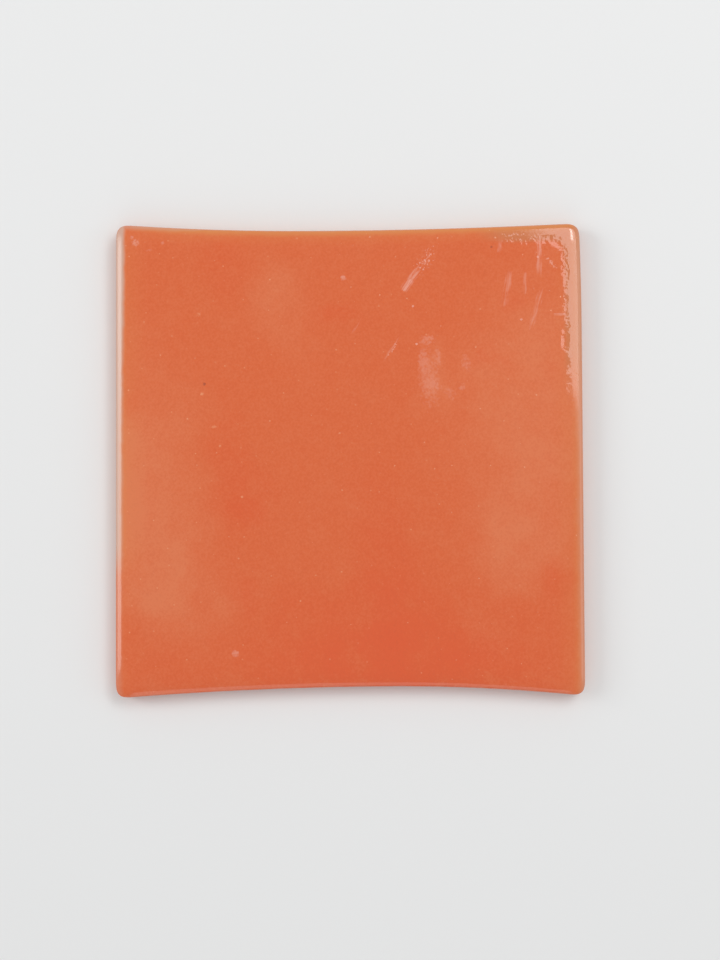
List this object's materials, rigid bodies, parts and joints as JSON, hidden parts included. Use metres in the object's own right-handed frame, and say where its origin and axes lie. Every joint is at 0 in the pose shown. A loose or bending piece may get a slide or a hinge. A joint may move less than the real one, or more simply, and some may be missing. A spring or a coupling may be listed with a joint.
{
  "type": "smalti glass tile",
  "caption": "Square slab of opaque orange smalti glass with a fire-rounded rim, two sides drawn in between soft corners, bonded by its flat back or cut into mosaic tesserae.",
  "frame": {"origin": "middle of the slab's box, on its flat back", "axes": "+Z out of the glossy front, +X across the two straight sides, +Y along them towards the side drawn in least"},
  "size_m": [0.12, 0.1214, 0.006],
  "materials": {
    "orange_smalti": "fire-polished gloss, opaque"
  },
  "bodies": {
    "root": {"glass_tile": "orange_smalti"}
  },
  "joints": []
}
